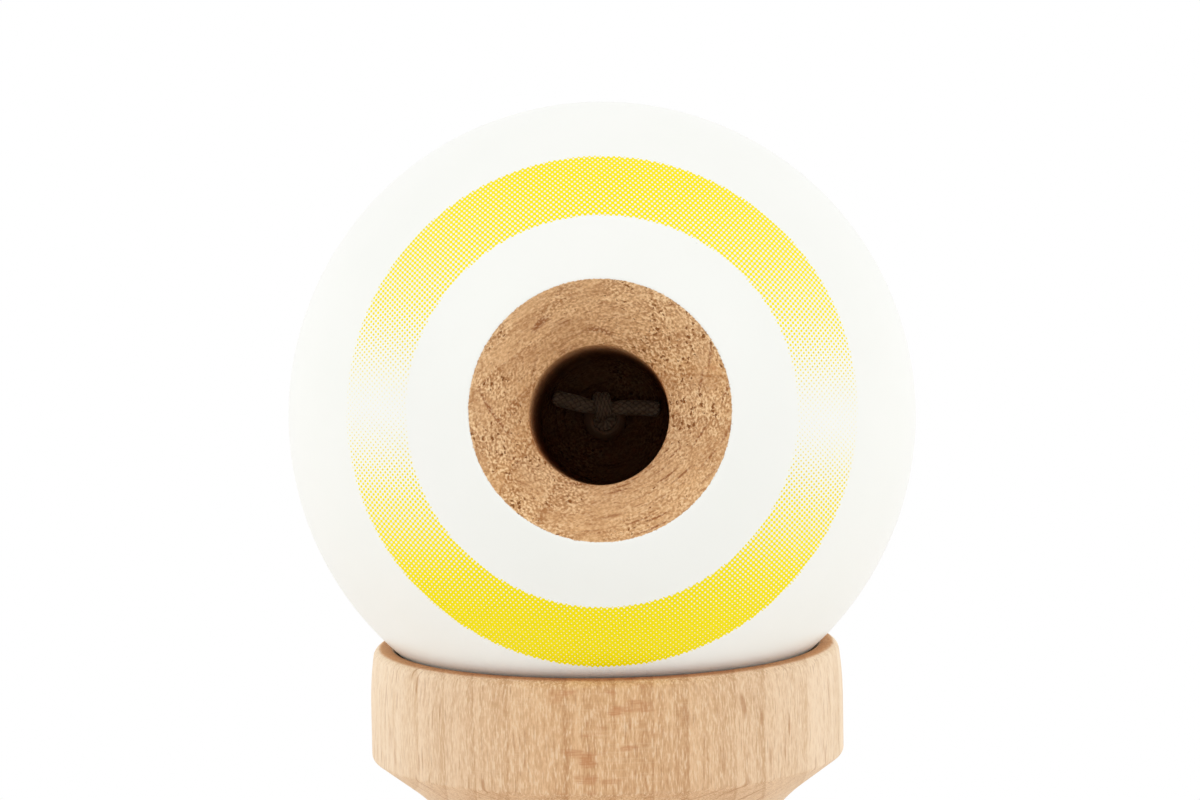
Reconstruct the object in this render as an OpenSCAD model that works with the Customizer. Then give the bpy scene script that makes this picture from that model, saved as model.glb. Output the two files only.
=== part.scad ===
// Cup and ball toy: a turned handle with a spike, a crosspiece with two cups, and a drilled ball on a cord.
// It stands on the rim of its small cup, with the ball in the big cup. Millimetres, Z up.

/* [Ball] */
// Diameter of the ball
ball_d = 60; // [56:0.5:64]
// Diameter of the hole that takes the spike
ball_hole_d = 12.4; // [12.4:0.1:13.6]
// Diameter of the bevel where it meets the outside of the ball
bevel_d = 23.4; // [20:0.2:25]
// Depth of the bevel along the hole
bevel_depth = 5.5; // [4:0.1:7]
// How far the bevel was cut off the line of the hole
bevel_shift = 0.6; // [0:0.1:1]
// Wood between the end of the hole and the back of the ball
ball_back_wall = 13; // [11:0.5:16]
// Diameter of the string hole through the back wall
ball_string_hole_d = 3; // [2.6:0.1:3.2]
// How far the hole looks up from level, in degrees
ball_tilt = 6; // [0:1:10]

/* [Cups] */
// Largest diameter of the big cup
big_cup_d = 45.5; // [43:0.1:48]
// Largest diameter of the small cup
small_cup_d = 42; // [39:0.1:45]
// Largest diameter of the base cup
base_cup_d = 38; // [35:0.1:41]
// Height of the band round the big cup
big_band_h = 10.5; // [9.5:0.1:12]
// Height of the band round the small cup
small_band_h = 9.7; // [9:0.1:12]
// Height of the band round the base cup
base_band_h = 8.8; // [8:0.1:10]
// Depth of the big bowl
big_bowl_depth = 13.5; // [13:0.1:15]
// Depth of the small bowl
small_bowl_depth = 11; // [9:0.1:13]
// Depth of the base bowl
base_bowl_depth = 8.5; // [7:0.1:10]
// Width of the flat lip on each rim
lip_w = 1.5; // [1:0.1:2]
// How much narrower a rim is than its band
band_crown = 0.65; // [0.4:0.05:0.9]
// Distance from a rim to the widest part of its band
crown_h = 5.5; // [4:0.1:6]
// Radius of the round on the outer edge of a rim
rim_round = 0.3; // [0.2:0.05:0.5]
// Radius of the round under a band
band_round = 0.5; // [0.3:0.1:1]
// How far the underside of a cup leans from its axis, in degrees
cove_lean = 53; // [48:1:56]
// Length of the straight start of the underside, along the axis
cove_flat = 2.5; // [1:0.1:3]

/* [Crosspiece] */
// Length from rim to rim
cross_l = 70; // [66:0.5:76]
// Diameter of the waist
waist_d = 26; // [25:0.5:29]

/* [Handle] */
// Length from the base rim to the tip
handle_l = 162; // [156:1:172]
// Distance from the base rim to the crosspiece
base_reach = 59; // [57:0.5:64]
// Seat diameter on the base side of the crosspiece
seat_base_d = 17.3; // [16.6:0.1:18]
// Seat diameter on the spike side of the crosspiece
seat_spike_d = 15.3; // [14.6:0.1:16]
// Diameter of the neck above the base cup
neck_d = 18.4; // [17:0.1:20]
// Distance from the base rim to the neck
neck_at = 27; // [25:0.5:28.5]
// Largest diameter of the grip
grip_d = 22.8; // [21:0.1:24]
// Distance from the base rim to the widest part of the grip
grip_at = 37; // [36:0.5:38.5]
// Diameter of the spike where its tip starts
spike_d = 8.6; // [8:0.1:9]
// How much the spike swells between its ends
spike_swell = 0.35; // [0:0.05:0.4]
// Diameter of the blunt end of the tip
tip_d = 3.4; // [2.4:0.1:4.4]
// Length of the rounded tip
tip_h = 8; // [6:0.5:10]

/* [Cord] */
// Thickness of the cord
cord_d = 1.6; // [1.2:0.1:1.8]
// Diameter of the string holes in the handle and the crosspiece
string_hole_d = 2.6; // [2.3:0.1:3]
// Diameter of the pocket for the handle knot
knot_pocket_d = 5.4; // [5:0.1:6]
// Depth of wood from the handle axis to the floor of the knot pocket
knot_pocket_at = 3.4; // [3:0.1:3.8]
// Diameter of the handle knot
handle_knot_d = 4.4; // [4:0.1:4.7]
// Diameter of the ball knot
ball_knot_d = 3.4; // [3:0.1:3.5]
// How far the knot lies above the hole's axis
knot_up = 0.8; // [0:0.1:1]
// Reach of the knot's short tail from its middle
short_tail = 4.6; // [3.5:0.1:4.7]
// Reach of the knot's long tail from its middle
long_tail = 5.5; // [4:0.1:5.6]
// Diameter of the stop bead
stop_bead_d = 4.2; // [4:0.1:4.6]
// Length of the stop bead
stop_bead_l = 3; // [2.6:0.1:3.2]
// Diameter of the string bead
string_bead_d = 8; // [7:0.1:10]
// Length of the string bead
string_bead_l = 6.4; // [5.4:0.1:6.6]
// Diameter of the hole through each bead
bead_hole_d = 2.2; // [2:0.1:2.5]
// How far the string bead runs along the cord
bead_travel = 4; // [2:0.5:6]

/* [Fits] */
// Gap between the ball and the lip it rests on
ball_gap = 0.15; // [0.1:0.05:0.3]
// Gap round the handle in the crosspiece
seat_gap = 0.05; // [0.03:0.01:0.1]
// Gap between the ball and each bead
bead_gap = 0.3; // [0.1:0.05:0.5]
// Gap between two runs of cord that move apart
cord_gap = 0.1; // [0.05:0.05:0.3]

/* [Hidden] */
$fn = 96;
eps = 0.01;
arc_steps = 12;

ball_r = ball_d / 2;
hole_r = ball_hole_d / 2;
big_r = big_cup_d / 2;
small_r = small_cup_d / 2;
base_r = base_cup_d / 2;
waist_r = waist_d / 2;
cord_r = cord_d / 2;

// The ball rests on the inner edge of the big lip.
function lip_r(max_r) = max_r - band_crown - lip_w;
ball_z = cross_l + sqrt(pow(ball_r + ball_gap, 2) - pow(lip_r(big_r), 2));
hole_end = ball_back_wall - ball_r;
bevel_z = sqrt(ball_r * ball_r - bevel_d * bevel_d / 4);
bevel_slope = (bevel_d - ball_hole_d) / (2 * bevel_depth);
bevel_cut = bevel_depth + 2;

// The stop bead lies in the round end of the hole, and the knot lies on the bead.
stop_z = hole_end + stop_bead_d / 2 + bead_gap / 2;
knot_z = stop_z + stop_bead_l / 2;
string_bead_z = -ball_r - bead_gap - string_bead_l / 2;
cord_exit = ball_r + bead_gap + string_bead_l + bead_travel + 0.4;

// The handle lies along X through the middle of the crosspiece.
handle_z = cross_l / 2;
seat_half = waist_r + 0.8;
function seat_r(s) = (seat_base_d + (seat_spike_d - seat_base_d) * (s - base_reach + seat_half) / (2 * seat_half)) / 2;
seat_mid_r = seat_r(base_reach);
bore_half = waist_r + 6;

// Points on an arc, and an easy change between two values.
function arc(c, r, a0, a1) = [for (i = [0:arc_steps]) let (a = a0 + (a1 - a0) * i / arc_steps) c + r * [cos(a), sin(a)]];
function ease(a, b, t) = a + (b - a) * (1 - cos(180 * t)) / 2;

// The outside of a cup from its rim to its neck, as [radius, distance from the rim]: a round at the rim, a band
// that swells on one long arc, a small round under it, a straight start of the underside, and a cove to the neck.
function crown_r() = (band_crown * band_crown + crown_h * crown_h) / (2 * band_crown);
function crown_a() = asin((rim_round - crown_h) / (crown_r() - rim_round));
function under_c(max_r, band) = [max_r - band_round, band - band_round * tan(cove_lean / 2)];
function under_end(max_r, band) = under_c(max_r, band) + band_round * [cos(cove_lean), sin(cove_lean)];
function cove_from(max_r, band) = under_end(max_r, band) + cove_flat * [-tan(cove_lean), 1];
function cove_r(max_r, band, nr) = (cove_from(max_r, band)[0] - nr) / (1 - cos(cove_lean));
function cove_end(max_r, band, nr) = cove_from(max_r, band)[1] + cove_r(max_r, band, nr) * sin(cove_lean);
function cup_side(max_r, band, nr) =
    let (crown_c = [max_r - crown_r(), crown_h])
    let (rim_c = crown_c + (crown_r() - rim_round) * [cos(crown_a()), sin(crown_a())])
    let (cr = cove_r(max_r, band, nr))
    concat(
        arc(rim_c, rim_round, -90, crown_a()),
        arc(crown_c, crown_r(), crown_a() * 0.92, 0),
        arc(under_c(max_r, band), band_round, 0, cove_lean),
        arc([nr + cr, cove_end(max_r, band, nr)], cr, 180 + cove_lean, 180)
    );

// The outline of the crosspiece, from its small rim up to its big rim.
small_side = cup_side(small_r, small_band_h, waist_r);
big_side = cup_side(big_r, big_band_h, waist_r);
cross_outline = concat(
    [[0, 0]],
    small_side,
    [for (i = [len(big_side) - 1:-1:0]) [big_side[i][0], cross_l - big_side[i][1]]],
    [[0, cross_l]]
);

// The outline of the handle, from its base rim to its tip.
neck_to = max(neck_at, cove_end(base_r, base_band_h, neck_d / 2) + 0.5);
spike_from = base_reach + seat_half;
spike_to = handle_l - tip_h;
grip_steps = 10;
handle_outline = concat(
    [[0, 0]],
    cup_side(base_r, base_band_h, neck_d / 2),
    [for (i = [0:grip_steps]) let (t = i / grip_steps)
        [ease(neck_d, grip_d, t) / 2, neck_to + (grip_at - neck_to) * t]],
    [for (i = [1:grip_steps]) let (t = i / grip_steps)
        [ease(grip_d, seat_base_d, t) / 2, grip_at + (base_reach - seat_half - grip_at) * t]],
    [for (i = [0:grip_steps]) let (t = i / grip_steps)
        [(seat_spike_d + (spike_d - seat_spike_d) * t) / 2 + spike_swell * sin(180 * t),
            spike_from + (spike_to - spike_from) * t]],
    [for (i = [1:grip_steps]) let (a = 90 * i / grip_steps)
        [tip_d / 2 + (spike_d - tip_d) / 2 * cos(a), spike_to + tip_h * sin(a)]],
    [[0, handle_l]]
);

// The route of the free cord: out of the crosspiece, down, round a loose loop on the floor, and up to the ball.
exit_y = cord_exit * cos(ball_tilt);
exit_z = ball_z - cord_exit * sin(ball_tilt);
floor_z = 1;
route = [
    [0, seat_mid_r + cord_gap, handle_z],
    [0, waist_r, handle_z],
    [0, waist_r + 5, handle_z - 0.6],
    [0.5, waist_r + 10, handle_z - 6],
    [1.5, waist_r + 13, handle_z - 16],
    [4, 28, 11],
    [10, 30, 3.6],
    [21, 31, floor_z],
    [36, 31, floor_z],
    [52, 31, floor_z],
    [68, 33, floor_z],
    [82, 39, floor_z],
    [90, 51, floor_z],
    [87, 65, floor_z],
    [75, 75, floor_z],
    [59, 77, floor_z],
    [44, 73, floor_z],
    [31, 67.5, floor_z],
    [19, 62.5, floor_z],
    [9, 59, 2.6],
    [3, 57, 8.5],
    [0.5, exit_y + 14.5, 18],
    [0, exit_y + 13.5, 31],
    [0, exit_y + 13, 46],
    [0, exit_y + 12.8, exit_z - 26],
    [0, exit_y + 11.6, exit_z - 13],
    [0, exit_y + 8, exit_z - 4.4],
    [0, exit_y + 3.6, exit_z - 0.8],
    [0, exit_y, exit_z]
];

// A tube swept along a smooth line through the route's points.
tube_sides = 8;
line_steps = 3;
function unit(v) = v / norm(v);
function along(p, i, u) =
    let (last = len(p) - 1)
    let (a = i > 0 ? p[i - 1] : 2 * p[0] - p[1])
    let (d = i + 2 <= last ? p[i + 2] : 2 * p[last] - p[last - 1])
    let (b = p[i])
    let (c = p[i + 1])
    0.5 * (2 * b + (c - a) * u + (2 * a - 5 * b + 4 * c - d) * u * u + (3 * b - a - 3 * c + d) * u * u * u);
function smooth_line(p) = concat(
    [for (i = [0:len(p) - 2]) for (k = [0:line_steps - 1]) along(p, i, k / line_steps)],
    [p[len(p) - 1]]
);
function headings(l) = [for (i = [0:len(l) - 1]) unit(l[min(i + 1, len(l) - 1)] - l[max(i - 1, 0)])];
function sideways(t, i, n) =
    i == len(t) ? [] : let (m = unit(n - (n * t[i]) * t[i])) concat([m], sideways(t, i + 1, m));

module tube(points, r) {
    l = smooth_line(points);
    t = headings(l);
    n = sideways(t, 0, [1, 0, 0.001]);
    k = tube_sides;
    rings = len(l);
    corners = [for (i = [0:rings - 1]) for (j = [0:k - 1])
        l[i] + r * (cos(360 * j / k) * n[i] + sin(360 * j / k) * cross(t[i], n[i]))];
    walls = [for (i = [0:rings - 2]) for (j = [0:k - 1]) let (h = (j + 1) % k)
        each [[i * k + j, i * k + k + h, i * k + h], [i * k + j, i * k + k + j, i * k + k + h]]];
    ends = [for (j = [1:k - 2]) each [[0, j, j + 1], [(rings - 1) * k, (rings - 1) * k + j + 1, (rings - 1) * k + j]]];
    polyhedron(corners, concat(walls, ends), convexity = 10);
}

// A bowl cut into a rim, whose opening looks along +Z at the origin.
module bowl(r, depth) {
    bowl_r = (r * r + depth * depth) / (2 * depth);
    translate([0, 0, bowl_r - depth])
        sphere(bowl_r);
}

// A bead: a ball with flat ends and a hole, centred on the origin.
module bead(d, l) {
    difference() {
        intersection() {
            sphere(d / 2);
            cylinder(h = l, d = d + 1, center = true);
        }
        cylinder(h = d + 2, d = bead_hole_d, center = true);
    }
}

// The ball's own frame: +Z looks out of the hole.
module at_ball() {
    translate([0, 0, ball_z])
        rotate([90 - ball_tilt, 0, 0])
            children();
}

// The handle's own frame: +Z runs from the base rim to the tip.
module along_handle() {
    translate([-base_reach, 0, handle_z])
        rotate([0, 90, 0])
            children();
}

module crosspiece() {
    color([0.84, 0.68, 0.5])
        difference() {
            rotate_extrude()
                polygon(cross_outline);
            translate([0, 0, cross_l])
                bowl(lip_r(big_r), big_bowl_depth);
            rotate([180, 0, 0])
                bowl(lip_r(small_r), small_bowl_depth);
            along_handle()
                translate([0, 0, base_reach - bore_half])
                    cylinder(
                        h = 2 * bore_half,
                        r1 = seat_r(base_reach - bore_half) + seat_gap,
                        r2 = seat_r(base_reach + bore_half) + seat_gap
                    );
            translate([0, 0, handle_z])
                rotate([-90, 0, 0])
                    cylinder(h = waist_r + 4, d = string_hole_d);
        }
}

module handle() {
    color([0.84, 0.68, 0.5])
        along_handle()
            difference() {
                rotate_extrude()
                    polygon(handle_outline);
                rotate([180, 0, 0])
                    bowl(lip_r(base_r), base_bowl_depth);
                translate([0, 0, base_reach])
                    rotate([-90, 0, 0])
                        cylinder(h = 30, d = string_hole_d, center = true);
                translate([0, -knot_pocket_at, base_reach])
                    rotate([90, 0, 0])
                        cylinder(h = 20, d = knot_pocket_d);
            }
}

module ball() {
    color([0.96, 0.96, 0.94])
        at_ball()
            difference() {
                sphere(ball_r);
                rotate_extrude()
                    polygon(concat(
                        arc([0, hole_end + hole_r], hole_r, -90, 0),
                        [[hole_r, ball_r + 2], [0, ball_r + 2]]
                    ));
                translate([0, bevel_shift, bevel_z - bevel_cut])
                    cylinder(
                        h = 2 * bevel_cut,
                        d1 = bevel_d - 2 * bevel_slope * bevel_cut,
                        d2 = bevel_d + 2 * bevel_slope * bevel_cut
                    );
                translate([0, 0, -ball_r - 2])
                    cylinder(h = ball_back_wall + 4, d = ball_string_hole_d);
            }
}

module stop_bead() {
    color([0.86, 0.84, 0.8])
        at_ball()
            translate([0, 0, stop_z])
                bead(stop_bead_d, stop_bead_l);
}

module string_bead() {
    color([0.86, 0.84, 0.8])
        at_ball()
            translate([0, 0, string_bead_z])
                bead(string_bead_d, string_bead_l);
}

module ball_knot() {
    color([0.9, 0.88, 0.83])
        at_ball()
            translate([0, knot_up, knot_z])
                union() {
                    intersection() {
                        translate([0, 0, ball_knot_d * 0.2])
                            sphere(ball_knot_d / 2);
                        cylinder(h = ball_knot_d, d = ball_knot_d + 1);
                    }
                    translate([0, 0, cord_r + 0.45])
                        rotate([0, 90, -3])
                            cylinder(h = long_tail, d = cord_d);
                    translate([0, 0, cord_r + 0.45])
                        rotate([0, 90, 168])
                            cylinder(h = short_tail, d = cord_d);
                }
}

module ball_cord() {
    color([0.9, 0.88, 0.83])
        at_ball()
            translate([0, 0, -cord_exit + cord_gap])
                cylinder(h = cord_exit - cord_gap + knot_z, d = cord_d);
}

module handle_knot() {
    color([0.9, 0.88, 0.83])
        translate([0, -knot_pocket_at, handle_z])
            rotate([90, 0, 0])
                intersection() {
                    translate([0, 0, handle_knot_d * 0.4])
                        sphere(handle_knot_d / 2);
                    cylinder(h = handle_knot_d, d = handle_knot_d + 1);
                }
}

module handle_cord() {
    color([0.9, 0.88, 0.83])
        translate([0, -knot_pocket_at, handle_z])
            rotate([-90, 0, 0])
                cylinder(h = knot_pocket_at + seat_mid_r - cord_gap, d = cord_d);
}

module cord() {
    color([0.9, 0.88, 0.83])
        tube(route, cord_r);
}

crosspiece();
handle();
ball();
stop_bead();
string_bead();
ball_knot();
ball_cord();
handle_knot();
handle_cord();
cord();
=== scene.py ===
import math

import bmesh
import bpy
import numpy as np
from mathutils import Matrix


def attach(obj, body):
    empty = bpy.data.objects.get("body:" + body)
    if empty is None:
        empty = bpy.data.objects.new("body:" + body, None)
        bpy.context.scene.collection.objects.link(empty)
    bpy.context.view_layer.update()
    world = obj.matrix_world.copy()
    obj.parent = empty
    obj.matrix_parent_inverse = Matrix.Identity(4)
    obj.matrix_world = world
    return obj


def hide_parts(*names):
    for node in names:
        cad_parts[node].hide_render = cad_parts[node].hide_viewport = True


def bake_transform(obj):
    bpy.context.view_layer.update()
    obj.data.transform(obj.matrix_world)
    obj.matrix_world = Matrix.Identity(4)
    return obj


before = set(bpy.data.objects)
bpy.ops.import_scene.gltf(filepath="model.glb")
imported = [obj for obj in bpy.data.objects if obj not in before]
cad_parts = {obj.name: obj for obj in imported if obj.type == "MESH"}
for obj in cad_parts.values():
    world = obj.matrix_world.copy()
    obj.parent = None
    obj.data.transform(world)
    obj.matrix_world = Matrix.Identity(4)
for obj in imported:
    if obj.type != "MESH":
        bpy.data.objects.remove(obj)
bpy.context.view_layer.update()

# Camera: a long portrait lens, 0.4 m from the middle of the ball and looking 6 degrees down on it, square
# to the ball's hole. It is held about one degree out of level, and its picture is 1200 by 800 pixels. The
# ball's height is in millimetres, as the sizes of the pieces are, and the camera's place is in metres.
ball_high = 92.0150
ball_middle = np.array([0.0, 0.0, ball_high * 0.001])
eye_distance, look_down, held_over = 0.400, math.radians(6.0), math.radians(1.0)
picture_wide, picture_high, sensor_wide = 1200, 800, 36.0
lens_pixels = 4170.0
ball_pixel = (602.1, 415.1)

to_eye = np.array([0.0, -math.cos(look_down), math.sin(look_down)])
level_up = np.array([0.0, math.sin(look_down), math.cos(look_down)])
level_right = np.array([1.0, 0.0, 0.0])
right = math.cos(held_over) * level_right - math.sin(held_over) * level_up
up = math.cos(held_over) * level_up + math.sin(held_over) * level_right
aim = (-to_eye - right * (ball_pixel[0] - picture_wide / 2) / lens_pixels
       + up * (ball_pixel[1] - picture_high / 2) / lens_pixels)
aim /= np.linalg.norm(aim)
right -= aim * (right @ aim)
right /= np.linalg.norm(right)
up = np.cross(right, aim)


def placed(across, upward, back, at):
    """The turn and place that lay a thing's own x, y and z along across, upward and back, at a point."""
    return Matrix([[across[k], upward[k], back[k], at[k]] for k in range(3)] + [[0, 0, 0, 1]])


lens = bpy.data.cameras.new("portrait_lens")
lens.sensor_width = sensor_wide
lens.lens = sensor_wide * lens_pixels / picture_wide
lens.clip_start, lens.clip_end = 0.01, 20.0
camera = bpy.data.objects.new("camera", lens)
camera.matrix_world = placed(right, up, -aim, ball_middle + eye_distance * to_eye)
bpy.context.scene.collection.objects.link(camera)
bpy.context.scene.camera = camera

# Crosspiece: one block of beech, turned between centres with its grain upright, a cup at each end and a
# waist between. A tapered hole for the handle and a small one for the cord are drilled through the waist.
# The sizes of this piece and of those after it are in millimetres.
cross_long, waist_r = 70.0, 13.0
handle_high = cross_long / 2
big_cup_r, big_band, big_deep = 22.75, 10.5, 13.5
small_cup_r, small_band, small_deep = 21.0, 9.7, 11.0
lip_wide, crown, crown_at, rim_r, under_r, cove_lean, cove_flat = 1.7, 0.45, 5.5, 0.95, 0.5, 53.0, 2.5
seat_reach, seat_half, seat_base_r, seat_spike_r, seat_gap = 59.0, 13.8, 8.65, 7.65, 0.05
string_hole_r, bore_over, string_over = 1.3, 6.0, 4.0
millimetre = (0.001,) * 3


def arc(centre, radius, start, stop, steps):
    """Points on a circle about centre, from angle start to stop in degrees."""
    a = np.radians(np.linspace(start, stop, steps))[:, None]
    return np.array(centre) + radius * np.hstack([np.cos(a), np.sin(a)])


def eased_corner(before, corner, after, steps=5):
    """The edge where two surfaces meet, sanded soft: the quadratic curve
    (1-t)(1-t) before + 2t(1-t) corner + t t after, with t from 0 to 1. It works on points and on whole
    rows of points."""
    t = np.linspace(0, 1, steps).reshape((-1,) + (1,) * np.ndim(corner))
    return (1 - t) ** 2 * before + 2 * t * (1 - t) * corner + t ** 2 * after


def cup_outside(cup_r, band, neck_r):
    """The turned outside of a cup as [radius, distance from its rim]: a small round at the rim, a band that
    swells to cup_r on one long arc, a tight round under the band, a straight start of the underside, and
    a cove, which is a hollow arc that comes to the neck along the axis."""
    swell_r = (crown ** 2 + crown_at ** 2) / (2 * crown)
    swell_turn = math.degrees(math.asin((rim_r - crown_at) / (swell_r - rim_r)))
    swell_c = np.array([cup_r - swell_r, crown_at])
    rim_c = swell_c + (swell_r - rim_r) * np.array(
        [math.cos(math.radians(swell_turn)), math.sin(math.radians(swell_turn))])
    lean = math.radians(cove_lean)
    under_c = np.array([cup_r - under_r, band - under_r * math.tan(lean / 2)])
    under = arc(under_c, under_r, 0, cove_lean, 8)
    start = under[-1] + cove_flat * np.array([-math.tan(lean), 1])
    cove_r = (start[0] - neck_r) / (1 - math.cos(lean))
    cove_c = [neck_r + cove_r, start[1] + cove_r * math.sin(lean)]
    return np.vstack([
        arc(rim_c, rim_r, -90, swell_turn, 8),
        arc(swell_c, swell_r, swell_turn * 0.96, 0, 24),
        under,
        arc(cove_c, cove_r, 180 + cove_lean, 180, 30),
    ])


def cup_inside(lip_r, depth):
    """The bowl of a cup as [radius, distance from its rim], from its middle to its lip: part of a sphere of
    radius (r r + d d) / 2d, with the edge at the lip sanded soft."""
    bowl_r = (lip_r ** 2 + depth ** 2) / (2 * depth)
    t = np.linspace(0, math.asin(lip_r / bowl_r), 34)
    bowl = np.column_stack([bowl_r * np.sin(t), depth - bowl_r * (1 - np.cos(t))])
    below, lip = 0.8 * bowl[-1] + 0.2 * bowl[-2], bowl[-1]
    return np.vstack([bowl[:-1], eased_corner(below, lip, lip + [0.15, 0.0])])


def from_top(outline):
    """An outline measured from the crosspiece's top end, turned over to run up to it from below."""
    return ([0, cross_long] + [1, -1] * outline)[::-1]


def turned(outline, around=240):
    """Rows of points round the +Z axis: [r cos a, r sin a, h] for each [r, h] of the outline."""
    a = np.linspace(0, 2 * math.pi, around, endpoint=False)
    r, h = outline[:, :1], outline[:, 1:]
    return np.stack([r * np.cos(a), r * np.sin(a), h + 0 * a], -1)


def drill(start_r, start, stop_r, stop, around=240):
    """What a drill takes away: a closed cone round +Z, from start_r at height start to stop_r at stop."""
    return turned(np.array([[0, start], [start_r, start], [stop_r, stop], [0, stop]]), around)


def along_handle(rows):
    """Rows turned round +Z, laid with +Z along the handle's axis, towards the spike."""
    return np.stack([rows[..., 2], rows[..., 1], handle_high - rows[..., 0]], -1)


def along_string(rows):
    """Rows turned round +Z, laid with +Z along the cord's hole, towards the back."""
    return np.stack([rows[..., 0], rows[..., 2], handle_high - rows[..., 1]], -1)


def shaded(mesh, crease=32.0):
    """Shades a mesh smooth, apart from the edges that turn by more than crease degrees."""
    mesh.shade_smooth()
    mesh.set_sharp_from_angle(angle=math.radians(crease))


def skin(name, *grids, crease=32.0):
    """A mesh over grids of points in millimetres: quads join row i to row i + 1, and each row closes on
    itself. Points in one place become one, and the map 'wrap' has the share of a turn and the millimetres
    along the middle of the rows."""
    corners, quads, wrap, first = [], [], [], 0
    for rows in grids:
        m, n = rows.shape[:2]
        i, j = np.meshgrid(np.arange(m - 1), np.arange(n), indexing="ij")
        k = (j + 1) % n
        here, after = first + i * n, first + (i + 1) * n
        quads.append(np.stack([here + j, here + k, after + k, after + j], -1).reshape(-1, 4))
        steps = np.linalg.norm(np.diff(rows.mean(1), axis=0), axis=1)
        along = np.concatenate([[0], np.cumsum(steps)])
        turn = np.stack([j, j + 1, j + 1, j], -1) / n
        wrap.append(np.stack([turn, along[np.stack([i, i, i + 1, i + 1], -1)]], -1))
        corners.append(rows.reshape(-1, 3) * 0.001)
        first += m * n
    mesh = bpy.data.meshes.new(name)
    mesh.from_pydata(np.vstack(corners).tolist(), [], np.vstack(quads).tolist())
    layer = mesh.uv_layers.new(name="wrap")
    layer.data.foreach_set("uv", np.concatenate([w.ravel() for w in wrap]).astype(np.float32))
    work = bmesh.new()
    work.from_mesh(mesh)
    bmesh.ops.remove_doubles(work, verts=work.verts, dist=1e-7)
    bmesh.ops.recalc_face_normals(work, faces=work.faces)
    work.to_mesh(mesh)
    work.free()
    shaded(mesh, crease)
    piece = bpy.data.objects.new(name, mesh)
    bpy.context.scene.collection.objects.link(piece)
    return piece


def drilled(piece, *drills):
    """Takes the drills' shapes out of the piece, keeps the result as its mesh, and puts the drills away."""
    for bit in drills:
        cut = piece.modifiers.new("drill", "BOOLEAN")
        cut.operation, cut.solver, cut.object = "DIFFERENCE", "EXACT", bit
    bpy.context.view_layer.update()
    ready = piece.evaluated_get(bpy.context.evaluated_depsgraph_get())
    cut_mesh = bpy.data.meshes.new_from_object(ready)
    piece.modifiers.clear()
    blank, piece.data = piece.data, cut_mesh
    for spare in (blank, *[bit.data for bit in drills]):
        bpy.data.meshes.remove(spare)
    shaded(piece.data)
    piece.data.materials.clear()
    return piece


def mark_ends(piece, grain):
    """Marks how square each bit of the surface lies to the grain, as the attribute 'end_grain':
    (normal . grain) squared, from 0 along the grain to 1 across it."""
    normals = np.empty(len(piece.data.loops) * 3, np.float32)
    piece.data.corner_normals.foreach_get("vector", normals)
    mark = piece.data.attributes.new("end_grain", "FLOAT", "CORNER")
    mark.data.foreach_set("value", (normals.reshape(-1, 3) @ np.array(grain, np.float32)) ** 2)


def linear(hex_colour):
    """An sRGB hex colour as linear red, green, blue and full alpha."""
    c = np.array([int(hex_colour[k:k + 2], 16) for k in (1, 3, 5)]) / 255
    return (*np.where(c <= 0.04045, c / 12.92, ((c + 0.055) / 1.055) ** 2.4).tolist(), 1.0)


def node(tree, kind, inputs, **settings):
    """Adds a shader node with its settings. Each input is a value, a socket, or a node whose first output
    is linked."""
    made = tree.nodes.new("ShaderNode" + kind)
    for name, value in settings.items():
        setattr(made, name, value)
    for key, value in inputs.items():
        if isinstance(value, bpy.types.Node):
            value = value.outputs[0]
        if isinstance(value, bpy.types.NodeSocket):
            tree.links.new(value, made.inputs[key])
        else:
            made.inputs[key].default_value = value
    return made


def finish(name, plain):
    """A new material, its tree and its surface shader, with what is the same all over set on the sockets."""
    made = bpy.data.materials.new(name)
    made.use_nodes = True
    surface = made.node_tree.nodes["Principled BSDF"]
    for socket, value in plain.items():
        surface.inputs[socket].default_value = value
    return made, made.node_tree, surface


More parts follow.
